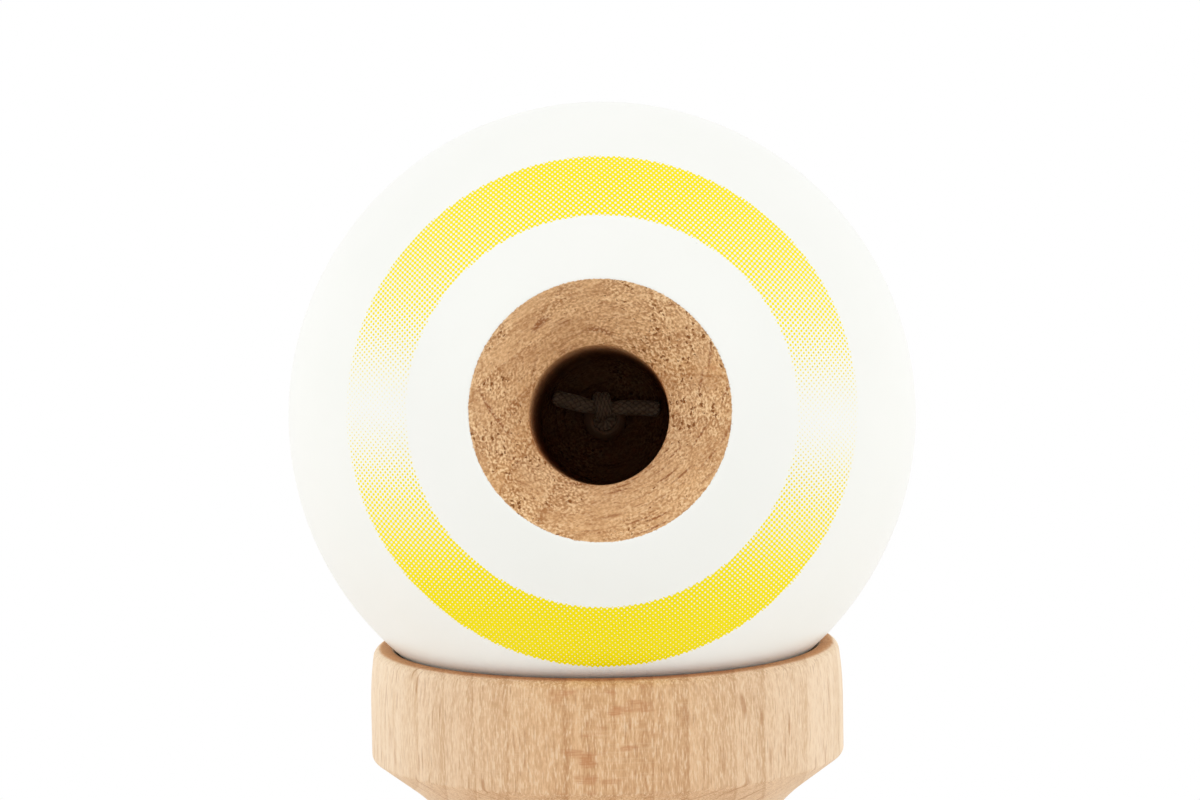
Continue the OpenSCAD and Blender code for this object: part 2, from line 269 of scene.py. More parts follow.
def beech(tree, pith, lie, axis, away, fibre, torn, pale_and_sheen,
          pale="#E2B88C", deep="#C08E60", ray="#AC7446"):
    """Bare beech as a solid pattern, so that each cut face shows the figure it should. pith is a point on
    the tree's middle and axis one on the middle of the cut, in metres; lie turns +Z to the grain, and away
    is the pith's distance in mm. The distance from the pith gives the growth ring, darker to its end. Rays
    are thin leaves that stand on the pith: dashes on a face along the rings, broad flecks on a face across
    them. A face along the rings is paler, by pale_and_sheen, partly by its own tone and partly as a painted
    sheen. End grain is darker, partly by its own tone and partly as painted shade on the cups' lips under
    the ball. Pores and fibres are drawn out along the grain, with fibre to the mm on each axis, and torn is
    how far the tool broke the end grain into pits and crumbs, which carry painted highlights and shade. It
    returns the sockets of colour and of surface height."""
    place = node(tree, "TexCoord", {}).outputs["Object"]
    log = node(tree, "Mapping", {0: place, 1: pith, 2: lie, 3: millimetre}, vector_type="TEXTURE")
    slow = node(tree, "VectorMath", {0: log, 1: (0.06, 0.06, 0.014)}, operation="MULTIPLY")
    drift = node(tree, "TexNoise", {"Vector": slow, "Scale": 1.0, "Detail": 2.0}).outputs["Color"]
    drift = node(tree, "VectorMath", {0: drift, 1: (0.5,) * 3}, operation="SUBTRACT")
    grown = node(tree, "VectorMath", {0: drift, 1: (2.2, 2.2, 0.0), 2: log}, operation="MULTIPLY_ADD")
    across = node(tree, "VectorMath", {0: grown, 1: (1, 1, 0)}, operation="MULTIPLY")
    radius = node(tree, "VectorMath", {0: across}, operation="LENGTH").outputs["Value"]
    axes = node(tree, "SeparateXYZ", {0: grown})
    turn = node(tree, "Math", {0: axes.outputs[1], 1: axes.outputs[0]}, operation="ARCTAN2")

    # Face: 1 where the surface lies along the rings and 0 where it cuts square across them.
    out = node(tree, "Mapping", {0: place, 1: axis, 2: lie, 3: millimetre}, vector_type="TEXTURE")
    out = node(tree, "VectorMath", {0: out, 1: (1, 1, 0)}, operation="MULTIPLY")
    out = node(tree, "VectorMath", {0: out}, operation="NORMALIZE")
    ringward = node(tree, "VectorMath", {0: across}, operation="NORMALIZE")
    face = node(tree, "VectorMath", {0: out, 1: ringward}, operation="DOT_PRODUCT").outputs["Value"]
    face = node(tree, "Math", {0: face, 1: face}, operation="MULTIPLY")

    # Growth rings about 3.8 mm wide, no two alike, pale at their start and darker to their end.
    uneven = node(tree, "Math", {0: radius, 1: 0.11}, operation="MULTIPLY")
    uneven = node(tree, "TexNoise", {"W": uneven, "Scale": 1.0, "Detail": 1.0}, noise_dimensions="1D")
    years = node(tree, "Math", {0: radius, 1: 1 / 3.8}, operation="MULTIPLY")
    years = node(tree, "Math", {0: uneven, 1: 1.1, 2: years}, operation="MULTIPLY_ADD")
    year = node(tree, "Math", {0: years}, operation="FRACT")
    ring = node(tree, "ValToRGB", {0: year})
    ring.color_ramp.elements[0].color = (0.05, 0.05, 0.05, 1)
    ring.color_ramp.elements[1].color = (0.1, 0.1, 0.1, 1)
    for where, shade in ((0.5, 0.3), (0.86, 0.55), (0.95, 1.0)):
        stop = ring.color_ramp.elements.new(where)
        stop.color = (shade, shade, shade, 1)

    # Fibres: pale and dark dashes 0.15 mm wide and 0.9 mm long on the turned pieces, a little coarser than
    # the real ones so that they show, in streaks 0.7 mm wide and 14 mm long. Torn wood shows them less.
    calm = 0.25 * torn - 0.025
    thread = node(tree, "VectorMath", {0: grown, 1: fibre}, operation="MULTIPLY")
    thread = node(tree, "TexNoise", {"Vector": thread, "Scale": 1.0, "Detail": 2.0, "Roughness": 0.6})
    thread = node(tree, "MapRange", {0: thread, 3: calm, 4: 1 - calm}, clamp=False).outputs[0]
    streak = node(tree, "VectorMath", {0: grown, 1: (1.4, 1.4, 0.07)}, operation="MULTIPLY")
    streak = node(tree, "TexNoise", {"Vector": streak, "Scale": 1.0, "Detail": 2.0})

    # Rays: leaves about 0.25 mm thick, 2.5 mm tall and 7 mm deep, one to every 2 square mm of a face along
    # the rings. On a face square across the rings they lie open as flecks of 1 by 4 mm, ruled with fine
    # lines.
    leaf_x = node(tree, "Math", {0: turn, 1: away / 0.46}, operation="MULTIPLY")
    leaf_y = node(tree, "Math", {0: axes.outputs[2], 1: 1 / 4.4}, operation="MULTIPLY")
    leaf_z = node(tree, "Math", {0: radius, 1: 1 / 13.0}, operation="MULTIPLY")
    leaf = node(tree, "CombineXYZ", {0: leaf_x, 1: leaf_y, 2: leaf_z})
    leaf = node(tree, "TexVoronoi", {"Vector": leaf, "Scale": 1.0})
    chance = node(tree, "SeparateColor", {0: leaf.outputs["Color"]})
    kept = node(tree, "MapRange", {0: chance.outputs[0], 1: 0.15, 2: 0.9, 3: 0.0, 4: 0.9})
    leaf = node(tree, "MapRange", {0: leaf.outputs["Distance"], 1: 0.36, 2: 0.16},
                interpolation_type="SMOOTHSTEP")
    rays = node(tree, "Math", {0: leaf, 1: kept}, operation="MULTIPLY")
    open_x = node(tree, "Math", {0: radius, 1: 0.26}, operation="MULTIPLY")
    open_z = node(tree, "Math", {0: axes.outputs[2], 1: 0.75}, operation="MULTIPLY")
    fleck = node(tree, "CombineXYZ", {0: open_x, 1: open_z})
    fleck = node(tree, "TexNoise", {"Vector": fleck, "Scale": 1.0, "Detail": 1.0}, noise_dimensions="2D")
    fleck = node(tree, "MapRange", {0: fleck, 1: 0.56, 2: 0.70}, interpolation_type="SMOOTHSTEP")
    square = node(tree, "MapRange", {0: face, 1: 0.07, 2: 0.0, 3: 0.0, 4: 0.75},
                  interpolation_type="SMOOTHSTEP")
    fleck = node(tree, "Math", {0: fleck, 1: square}, operation="MULTIPLY")
    cell_x = node(tree, "Math", {0: radius, 1: 0.7}, operation="MULTIPLY")
    cell_z = node(tree, "Math", {0: axes.outputs[2], 1: 6.0}, operation="MULTIPLY")
    cells = node(tree, "CombineXYZ", {0: cell_x, 1: cell_z})
    cells = node(tree, "TexNoise", {"Vector": cells, "Scale": 1.0, "Detail": 1.0}, noise_dimensions="2D")
    cells = node(tree, "MapRange", {0: cells, 1: 0.35, 2: 0.65, 3: 0.4, 4: 1.0})
    fleck = node(tree, "Math", {0: fleck, 1: cells}, operation="MULTIPLY")

    # Pores: tubes about 0.15 mm across and 1.5 mm long, more of them at the start of each year.
    tube = node(tree, "VectorMath", {0: grown, 1: (2.9, 2.9, 0.30)}, operation="MULTIPLY")
    tube = node(tree, "TexVoronoi", {"Vector": tube, "Scale": 1.0})
    tube = node(tree, "MapRange", {0: tube.outputs["Distance"], 1: 0.30, 2: 0.14},
                interpolation_type="SMOOTHSTEP")
    early = node(tree, "MapRange", {0: year, 1: 0.2, 2: 0.95, 3: 1.0, 4: 0.25})
    pores = node(tree, "Math", {0: tube, 1: early}, operation="MULTIPLY")

    # Turning lines: faint scratches 0.14 mm wide and 4 mm long, square to the grain as the lathe left them,
    # here and there.
    scratch = node(tree, "VectorMath", {0: log, 1: (0.22, 0.22, 7.0)}, operation="MULTIPLY")
    scratch = node(tree, "TexNoise", {"Vector": scratch, "Scale": 1.0, "Detail": 1.0})
    scratch = node(tree, "MapRange", {0: scratch, 1: 0.56, 2: 0.66, 3: 0.0, 4: 0.12 * (1 - torn)})
    here = node(tree, "TexNoise", {"Vector": log, "Scale": 0.16, "Detail": 1.0})
    here = node(tree, "MapRange", {0: here, 1: 0.48, 2: 0.62})
    scratch = node(tree, "Math", {0: scratch, 1: here}, operation="MULTIPLY")

    # End grain: where the tool tore it, in patches some mm wide, a grit of crumbs of 0.25 mm with ragged pits
    # of up to 0.4 mm. The crumbs' crests are painted pale as highlights, and the hollows between them and the
    # pits dark as painted shade.
    ends = node(tree, "Attribute", {}, attribute_name="end_grain").outputs["Fac"]
    patchy = node(tree, "TexNoise", {"Vector": log, "Scale": 0.3, "Detail": 2.0})
    patchy = node(tree, "MapRange", {0: patchy, 1: 0.35, 2: 0.65, 3: 0.45, 4: 1.15})
    broken = node(tree, "Math", {0: ends, 1: 1.2 * torn, 2: 0.62 * torn},
                  operation="MULTIPLY_ADD", use_clamp=True)
    broken = node(tree, "Math", {0: broken, 1: patchy}, operation="MULTIPLY", use_clamp=True)
    crumb = node(tree, "TexNoise", {"Vector": log, "Scale": 3.8, "Detail": 3.0})
    grit_shade = node(tree, "MapRange", {0: crumb, 1: 0.47, 2: 0.36, 3: 0.0, 4: 0.6})
    grit_shade = node(tree, "Math", {0: grit_shade, 1: broken}, operation="MULTIPLY")
    crest_highlight = node(tree, "MapRange", {0: crumb, 1: 0.49, 2: 0.62, 3: 0.0, 4: 0.85})
    crest_highlight = node(tree, "Math", {0: crest_highlight, 1: broken}, operation="MULTIPLY")
    rough = node(tree, "TexNoise", {"Vector": log, "Scale": 3.0, "Detail": 2.0}).outputs["Color"]
    rough = node(tree, "VectorMath", {0: rough, 1: (0.6,) * 3, 2: log}, operation="MULTIPLY_ADD")
    pit = node(tree, "TexVoronoi", {"Vector": rough, "Scale": 2.3})
    lost = node(tree, "SeparateColor", {0: pit.outputs["Color"]})
    lost = node(tree, "Math", {0: lost, 1: broken}, operation="MULTIPLY")
    lost = node(tree, "MapRange", {0: lost, 1: 0.28, 2: 1.0, 3: 0.0, 4: 0.53})
    pit = node(tree, "Math", {0: lost, 1: pit.outputs["Distance"]}, operation="SUBTRACT")
    pit = node(tree, "MapRange", {0: pit, 1: 0.0, 2: 0.1}, interpolation_type="SMOOTHSTEP")

    # Colour: the ring's shade, streaked by the fibres and paler along the rings, partly as painted sheen.
    # Then come gleaming fibres, rays, flecks and pores, the deeper tone of end grain with painted shade on
    # the lips, and its crumbs and pits with their painted highlights and shade.
    shade = node(tree, "MapRange", {0: thread, 1: 0.3, 2: 0.7, 3: 0.6, 4: -0.4})
    band = node(tree, "Math", {0: ends, 1: 0.4, 2: 0.65}, operation="MULTIPLY_ADD")
    shade = node(tree, "Math", {0: ring, 1: band, 2: shade}, operation="MULTIPLY_ADD")
    broad = node(tree, "MapRange", {0: streak, 1: 0.3, 2: 0.7, 3: 0.3, 4: -0.3})
    shade = node(tree, "Math", {0: shade, 1: broad}, operation="ADD")
    # Paler along the rings: partly the paler tone of such a face, partly a painted sheen, the white of
    # grazing reflection on the sides of the turned pieces.
    along = node(tree, "Math", {0: face, 1: pale_and_sheen}, operation="MULTIPLY")
    first = node(tree, "Mix", {0: along, 6: linear(pale), 7: linear("#F9E6CC")}, data_type="RGBA")
    last = node(tree, "Mix", {0: along, 6: linear(deep), 7: linear("#EACFAC")}, data_type="RGBA")
    wood = node(tree, "Mix", {0: shade, 6: first.outputs[2], 7: last.outputs[2]}, data_type="RGBA")
    gleam = node(tree, "MapRange", {0: thread, 1: 0.54, 2: 0.64, 3: 0.0, 4: 0.38})
    gleam = node(tree, "Math", {0: gleam, 1: scratch}, operation="MAXIMUM")
    soft_rays = node(tree, "Math", {0: rays, 1: 0.58 + 0.3 * torn}, operation="MULTIPLY")
    soft_pores = node(tree, "Math", {0: pores, 1: 0.25 + 0.35 * torn}, operation="MULTIPLY")
    # End grain is darker: partly its own deeper tone, partly painted shade, as on the cups' lips under the
    # ball.
    end_grain_and_shade = node(tree, "MapRange", {0: ends, 1: 0.7, 2: 1.0}, interpolation_type="SMOOTHSTEP")
    # The crests' pale tint is a painted highlight; the grit's and the pits' dark tints are painted shade.
    for share, tint, way in (
            (gleam, "#F3DDBE", "MIX"), (soft_rays, ray, "MIX"), (fleck, "#C08254", "MIX"),
            (soft_pores, "#94592F", "MIX"), (end_grain_and_shade, "#D3AA80", "MULTIPLY"),
            (crest_highlight, "#FFDEAF", "MIX"), (grit_shade, "#96663A", "MIX"), (pit, "#8C5A30", "MIX")):
        wood = node(tree, "Mix", {0: share, 6: wood.outputs[2], 7: linear(tint)},
                    data_type="RGBA", blend_type=way)
    height = node(tree, "Math", {0: pores, 1: -0.3, 2: thread}, operation="MULTIPLY_ADD")
    hollow = node(tree, "Math", {0: pit, 1: -1.8}, operation="MULTIPLY")
    height = node(tree, "Math", {0: height, 1: hollow}, operation="ADD")
    return wood.outputs[2], height.outputs[0]


def bare_beech(name, pith, lie, axis, away):
    """Turned and sanded beech with no lacquer: matt, with fibres that can just be felt and a trace of raised
    nap. The grain lies as beech() is told."""
    made, tree, surface = finish(
        name, {"Roughness": 0.75, "IOR": 1.42, "Sheen Weight": 0.04, "Sheen Roughness": 0.4})
    colour, height = beech(tree, pith, lie, axis, away, (6.5, 6.5, 1.1), torn=0.1, pale_and_sheen=0.95)
    tree.links.new(colour, surface.inputs["Base Color"])
    felt = node(tree, "Bump", {"Height": height, "Strength": 0.5, "Distance": 0.00006})
    tree.links.new(felt.outputs[0], surface.inputs["Normal"])
    return made


cross_outline = np.vstack([
    cup_inside(small_cup_r - crown - lip_wide, small_deep),
    cup_outside(small_cup_r, small_band, waist_r),
    from_top(cup_outside(big_cup_r, big_band, waist_r)),
    from_top(cup_inside(big_cup_r - crown - lip_wide, big_deep)),
])
reach, string_reach = waist_r + bore_over, waist_r + string_over
taper = (seat_spike_r - seat_base_r) / (2 * seat_half)
seat_mid_r = (seat_base_r + seat_spike_r) / 2
handle_bore = drill(seat_mid_r - taper * reach + seat_gap, -reach,
                    seat_mid_r + taper * reach + seat_gap, reach)
string_bore = drill(string_hole_r, 0, string_hole_r, string_reach, 48)
crosspiece = drilled(skin("crosspiece_turned", turned(cross_outline)),
                     skin("handle_bore", along_handle(handle_bore)),
                     skin("string_bore", along_string(string_bore)))
mark_ends(crosspiece, (0, 0, 1))
crosspiece.data.materials.append(
    bare_beech("beech_upright_grain", (-0.150, -0.020, 0.0), (0, 0, 0), (0, 0, 0), 150.0))
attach(crosspiece, "crosspiece")
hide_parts("crosspiece")

# Handle: a second turned beech block with its grain lengthways, a small cup in its base, a grip that swells,
# a tapered seat pushed through the crosspiece, and a spike. The cord runs through it to a knot in a pocket.
handle_long, neck_r, neck_at, grip_r, grip_at = 162.0, 9.2, 27.0, 11.4, 37.0
base_cup_r, base_band, base_deep = 19.0, 8.8, 8.5
spike_r, spike_swell, tip_r, tip_long = 4.3, 0.35, 1.7, 8.0
pocket_r, pocket_at, string_from, pocket_from = 2.7, 3.4, 15.0, 20.0


def eased(a, b, t):
    """A change from a to b that starts and ends gently, by half a cosine wave."""
    return a + (b - a) * (1 - np.cos(math.pi * t)) / 2


whole = np.linspace(0, 1, 25)
t = whole[1:]
seat_from, spike_from, spike_to = seat_reach - seat_half, seat_reach + seat_half, handle_long - tip_long
handle_outline = np.vstack([
    cup_inside(base_cup_r - crown - lip_wide, base_deep),
    cup_outside(base_cup_r, base_band, neck_r),
    np.column_stack([eased(neck_r, grip_r, whole), neck_at + (grip_at - neck_at) * whole]),
    np.column_stack([eased(grip_r, seat_base_r, t), grip_at + (seat_from - grip_at) * t]),
    np.column_stack([seat_base_r + (seat_spike_r - seat_base_r) * t, seat_from + 2 * seat_half * t]),
    np.column_stack([seat_spike_r + (spike_r - seat_spike_r) * t + spike_swell * np.sin(math.pi * t),
                     spike_from + (spike_to - spike_from) * t]),
    np.column_stack([tip_r + (spike_r - tip_r) * np.cos(math.pi / 2 * t),
                     spike_to + tip_long * np.sin(math.pi / 2 * t)]),
    [[0, handle_long]],
])
string_way = drill(string_hole_r, -string_from, string_hole_r, string_from, 48)
pocket = drill(pocket_r, -pocket_from, pocket_r, -pocket_at, 64)
handle = drilled(skin("handle_turned", along_handle(turned(handle_outline, 200)) - [seat_reach, 0, 0]),
                 skin("string_way", along_string(string_way)),
                 skin("knot_pocket", along_string(pocket)))
mark_ends(handle, (1, 0, 0))
handle.data.materials.append(bare_beech(
    "beech_long_grain", (0.0, -0.030, -0.035), (0, math.radians(90), 0), (0, 0, 0.035), 76.0))
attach(handle, "handle")
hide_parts("handle")

# Ball: a beech sphere sprayed with white lacquer, with a ring printed round the hole in yellow dots that
# fade out at its sides. The bevelled hole for the spike is drilled after painting, so it is bare wood.
ball_r, hole_r, hole_end, string_r = 30.0, 6.35, -17.0, 1.5
bevel_r, bevel_up, hole_left, aside = 11.87, 0.6, 0.25, 0.5
ball_tilt, grain_rise = math.radians(6.0), 25.0
dot_pitch, ring_in, ring_out, ring_up, ring_soft = 0.38, 17.70, 23.32, 0.36, 0.1


def ball_place(rows):
    """Points from the ball's own frame, +Z out of its hole, to the toy's frame, in mm."""
    s, c = math.sin(ball_tilt), math.cos(ball_tilt)
    x, y, z = rows[..., 0], rows[..., 1], rows[..., 2]
    return np.stack([x, s * y - c * z, ball_high + c * y + s * z], -1)


def drilled_ball(around=256):
    """The ball as rows about the bevel's axis: down the 45 degree bevel, the bore, which leans a degree
    aside, and its round end, through the cord's hole, and back over the sphere. The bevel's axis is off the
    ball's by c across and b up. Where its cone (radius p, height p + k) meets the sphere of radius R,
    2pp + 2p(c cos a + b sin a + k) + bb + cc + kk - RR = 0, and where it meets the bore of radius r,
    p = -b sin a + sqrt(rr - bb cos a cos a)."""
    a = np.linspace(0, 2 * math.pi, around, endpoint=False)
    k = math.sqrt(ball_r ** 2 - bevel_r ** 2) - bevel_r
    half = bevel_up * np.sin(a) - hole_left * np.cos(a) + k
    off = bevel_up ** 2 + hole_left ** 2 + k ** 2 - ball_r ** 2
    outer = (-half + np.sqrt(half ** 2 - 2 * off)) / 2
    inner = -bevel_up * np.sin(a) + np.sqrt(hole_r ** 2 - (bevel_up * np.cos(a)) ** 2)
    mouth, throat = (np.stack([p * np.cos(a) - hole_left, bevel_up + p * np.sin(a), p + k], -1)
                     for p in (outer, inner))

    def wall(size, z, across=0.0, down=0.0):
        """A ring of the bore at height z: the throat scaled to radius size and moved across and down."""
        x, y = (throat[:, 0] + hole_left) * size / hole_r, throat[:, 1] * size / hole_r
        return np.stack([x + across, y - down, 0 * a + z], -1)

    # Each stretch stops a little short of the edges, which are then sanded soft.
    t = np.linspace(0, 1, 10)[:, None, None]
    bevel = mouth + (throat - mouth) * (0.02 + 0.94 * t)
    deep, lean = hole_end + hole_r, aside - hole_left
    bore = wall(hole_r, throat[:, 2] - 0.3, -hole_left) * (1 - t) + wall(hole_r, deep, lean, aside) * t
    e = np.linspace(0, math.acos(string_r / hole_r), 16)[1:]
    cup = np.stack([wall(hole_r * math.cos(x), deep - hole_r * math.sin(x),
                         lean * (1 - x / e[-1]), aside * (1 - x / e[-1])) for x in e])
    back = -math.sqrt(ball_r ** 2 - string_r ** 2)
    string_way = wall(string_r, cup[-1, 0, 2] - 0.2) * (1 - t) + wall(string_r, back + 0.25) * t
    to_mouth = np.arccos(mouth[:, 2] / ball_r)
    polar = math.pi - math.asin(string_r / ball_r)
    u = np.linspace(0.003, 0.996, 140)[:, None]
    tilt = polar + (to_mouth - polar) * u
    about = a + (np.unwrap(np.arctan2(mouth[:, 1], mouth[:, 0])) - a) * u
    sphere = ball_r * np.stack(
        [np.sin(tilt) * np.cos(about), np.sin(tilt) * np.sin(about), np.cos(tilt)], -1)
    return np.concatenate([
        bevel, eased_corner(bevel[-1], throat, bore[0])[1:-1], bore, cup,
        string_way, eased_corner(string_way[-1], wall(string_r, back), sphere[0])[1:-1],
        sphere, eased_corner(sphere[-1], mouth, bevel[0])[1:],
    ])


def lacquer_and_dots():
    """Satin white lacquer over beech, with a dot screen printed in yellow. It is smooth, with the faint
    ripple of a sprayed coat and a few specks of dust, and it stops at the drilled edge, where bare wood
    begins."""
    made, tree, surface = finish("white_lacquer_on_beech", {"IOR": 1.22})
    place = node(tree, "TexCoord", {}).outputs["Object"]
    to_hole = (math.pi / 2 - ball_tilt, 0, 0)
    local = node(tree, "Mapping", {0: place, 1: tuple(ball_middle), 2: to_hole, 3: millimetre},
                 vector_type="TEXTURE")
    outward = node(tree, "SeparateXYZ", {0: local}).outputs[2]

    # Screen: dots on lines at 45 degrees, turned 3 degrees, a little wider apart to the middle. The real ones
    # are 0.30 mm apart, and are drawn 0.38 mm apart so that they show.
    flat = node(tree, "VectorMath", {0: local, 1: (1, 1, 0)}, operation="MULTIPLY")
    square = node(tree, "VectorMath", {0: flat, 1: flat}, operation="DOT_PRODUCT").outputs["Value"]
    spread = node(tree, "Math", {0: square, 1: 0.138 / ball_r ** 2, 2: 1.0}, operation="MULTIPLY_ADD")
    laid = node(tree, "VectorMath", {0: flat, "Scale": spread}, operation="SCALE")
    screen_turn, waves_per_mm = (0, 0, math.radians(45 - 3)), (2 * math.pi / dot_pitch,) * 3
    laid = node(tree, "Mapping", {0: laid, 2: screen_turn, 3: waves_per_mm})
    waves = node(tree, "VectorMath", {0: laid}, operation="COSINE")
    waves = node(tree, "VectorMath", {0: waves, 1: (0.5, 0.5, 0)}, operation="DOT_PRODUCT").outputs["Value"]

    # Ring: about a point a little above the ball's own axis. Its edges are 0.2 mm soft, so the screen breaks
    # them into dots.
    from_axis = node(tree, "VectorMath", {0: flat, 1: (0.0, ring_up, 0)}, operation="DISTANCE")
    from_axis = from_axis.outputs["Value"]
    within = node(tree, "MapRange", {0: from_axis, 1: ring_out + ring_soft, 2: ring_out - ring_soft})
    beyond = node(tree, "MapRange", {0: from_axis, 1: ring_in - ring_soft, 2: ring_in + ring_soft})
    front = node(tree, "Math", {0: outward, 1: 0.0}, operation="GREATER_THAN")
    ring = node(tree, "Math", {0: within, 1: beyond}, operation="MULTIPLY")
    ring = node(tree, "Math", {0: ring, 1: front}, operation="MULTIPLY")
    inside = node(tree, "Math", {0: ring, 1: 0.05}, operation="GREATER_THAN")

    # Fade: the dots grow with the distance from a line through the hole, more below it than above, until
    # only small gaps are left.
    fade = node(tree, "Mapping", {0: flat, 2: (0, 0, math.radians(2.7))})
    fade = node(tree, "SeparateXYZ", {0: fade}).outputs[1]
    far = node(tree, "Math", {0: fade}, operation="ABSOLUTE")
    far = node(tree, "Math", {0: far, 1: 1 / 21.8}, operation="MULTIPLY", use_clamp=True)
    steep = node(tree, "Math", {0: far, 1: 1.3}, operation="POWER")
    gentle = node(tree, "MapRange", {0: far, 2: 0.72}, interpolation_type="SMOOTHSTEP")
    grow = node(tree, "Math", {0: steep, 1: gentle}, operation="ADD")
    below = node(tree, "Math", {0: fade, 1: 0.0}, operation="LESS_THAN")
    most = node(tree, "Math", {0: below, 1: 0.10, 2: 0.40}, operation="MULTIPLY_ADD")
    ink = node(tree, "Math", {0: grow, 1: most, 2: 0.03}, operation="MULTIPLY_ADD")
    ink = node(tree, "Math", {0: ink, 1: 0.94}, operation="MINIMUM")
    ink = node(tree, "Math", {0: ink, 1: ring}, operation="MULTIPLY")
    clear = node(tree, "Math", {0: ink, 1: -2.0, 2: 1.0}, operation="MULTIPLY_ADD")
    sign = node(tree, "Math", {0: clear}, operation="SIGN")
    edge = node(tree, "Math", {0: clear}, operation="ABSOLUTE")
    edge = node(tree, "Math", {0: edge, 1: 1.57}, operation="POWER")
    edge = node(tree, "Math", {0: edge, 1: sign}, operation="MULTIPLY")
    over = node(tree, "Math", {0: waves, 1: edge}, operation="SUBTRACT")
    dots = node(tree, "MapRange", {0: over, 1: -0.06, 2: 0.06}, interpolation_type="SMOOTHSTEP")
    print_on = node(tree, "Math", {0: dots, 1: inside}, operation="MULTIPLY")

    # Coat: clean white with slow, slight changes of tone, and dust specks 0.1 to 0.2 mm across.
    cloud = node(tree, "TexNoise", {"Vector": local, "Scale": 0.11, "Detail": 2.0})
    coat = node(tree, "Mix", {0: cloud, 6: linear("#F3F4EF"), 7: linear("#F7F7F3")}, data_type="RGBA")
    speck = node(tree, "TexVoronoi", {"Vector": local, "Scale": 0.33})
    rare = node(tree, "SeparateColor", {0: speck.outputs["Color"]})
    rare = node(tree, "MapRange", {0: rare, 1: 0.8, 2: 1.0, 3: 0.0, 4: 0.35})
    speck = node(tree, "MapRange", {0: speck.outputs["Distance"], 1: 0.035, 2: 0.015})
    speck = node(tree, "Math", {0: speck, 1: rare}, operation="MULTIPLY")
    for share, tint in ((speck, "#8C8878"), (print_on, "#FAE700")):
        coat = node(tree, "Mix", {0: share, 6: coat.outputs[2], 7: linear(tint)}, data_type="RGBA")

    # Bare wood: everything more than 0.1 mm inside the sphere, with a slightly torn edge of paint. The drill
    # tore the end grain of the bevel, and the bore is painted darker towards its bottom as shade.
    wood, height = beech(
        tree, (0.030, 0.005, 0.029), (0, math.radians(90 - grain_rise), 0), (0, -0.0249, 0.0946), 68.0,
        (8.0, 2.5, 1.4), torn=1.0, pale_and_sheen=0.1, pale="#DEAF7B", deep="#B17B4A", ray="#8E5028")
    # Painted shade: the bore's wall darkens towards the bottom of the hole.
    painted_bore_shade = node(tree, "MapRange", {0: outward, 1: 26.5, 2: 0.0, 3: 0.0, 4: 0.5})
    wood = node(tree, "Mix", {0: painted_bore_shade, 6: wood, 7: linear("#744632")}, data_type="RGBA")
    depth = node(tree, "VectorMath", {0: local}, operation="LENGTH").outputs["Value"]
    torn = node(tree, "TexNoise", {"Vector": local, "Scale": 4.5, "Detail": 3.0})
    depth = node(tree, "Math", {0: torn, 1: -0.22, 2: depth}, operation="MULTIPLY_ADD")
    painted = node(tree, "MapRange", {0: depth, 1: 29.74, 2: 29.80})
    colour = node(tree, "Mix", {0: painted, 6: wood.outputs[2], 7: coat.outputs[2]}, data_type="RGBA")
    gloss = node(tree, "MapRange", {0: painted, 3: 0.62, 4: 0.30})
    tree.links.new(gloss.outputs[0], surface.inputs["Roughness"])
    ripple = node(tree, "TexNoise", {"Vector": local, "Scale": 0.9, "Detail": 1.0})
    ripple = node(tree, "Math", {0: ripple, 1: 0.06}, operation="MULTIPLY")
    raised = node(tree, "Mix", {0: painted, 2: height, 3: ripple})
    tree.links.new(colour.outputs[2], surface.inputs["Base Color"])
    felt = node(tree, "Bump", {"Height": raised, "Strength": 0.6, "Distance": 0.0001})
    tree.links.new(felt.outputs[0], surface.inputs["Normal"])
    return made


ball = skin("ball_lacquered", ball_place(drilled_ball()), crease=38.0)
mark_ends(ball, (math.cos(math.radians(grain_rise)), 0, math.sin(math.radians(grain_rise))))
ball.data.materials.append(lacquer_and_dots())
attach(ball, "ball")
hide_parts("ball")

# Beads: two moulded plastic beads on the cord. A small one inside the ball hangs a little low and keeps the
# knot from pulling through, and a round one outside the ball slides on the cord.
stop_at, string_at, bead_hole_r, bead_edge = -14.75, -33.5, 1.1, 0.3
stop_hang = np.array([0.25, -0.45])


def bead_outline(bead_r, bead_long):
    """A bead as [radius, height]: down its hole, over a soft edge to a flat end, and up round its sphere."""
    half = bead_long / 2
    end_r = math.sqrt(bead_r ** 2 - half ** 2)
    turn = math.degrees(math.asin(half / bead_r))
    side = arc([0, 0], bead_r, -turn, turn, 28)[1:-1]
    hole_rim, flat_from = np.array([bead_hole_r, half]), bead_hole_r + bead_edge
    top = eased_corner(hole_rim - [0, bead_edge], hole_rim, np.array([flat_from, half]))
    brow_to = np.array([max(end_r - bead_edge, flat_from), half])
    brow = eased_corner(side[-1], np.array([end_r, half]), brow_to)
    low, foot = top * [1, -1], brow * [1, -1]
    return np.vstack([top[::-1], [[bead_hole_r, 0]], low, foot[::-1], side, brow, top[::-1][:1]])


def moulded_plastic(name, dull, bright):
    """Moulded polystyrene: an even colour, a dull gloss and a very slight flow ripple from the mould, about
    1.7 mm from crest to crest."""
    made, tree, surface = finish(name, {"Roughness": 0.62, "IOR": 1.5})
    place = node(tree, "TexCoord", {}).outputs["Object"]
    flow = node(tree, "TexNoise", {"Vector": place, "Scale": 600.0, "Detail": 2.0})
    tint = node(tree, "Mix", {0: flow, 6: linear(dull), 7: linear(bright)}, data_type="RGBA")
    tree.links.new(tint.outputs[2], surface.inputs["Base Color"])
    felt = node(tree, "Bump", {"Height": flow, "Strength": 0.15, "Distance": 0.00005})
    tree.links.new(felt.outputs[0], surface.inputs["Normal"])
    return made


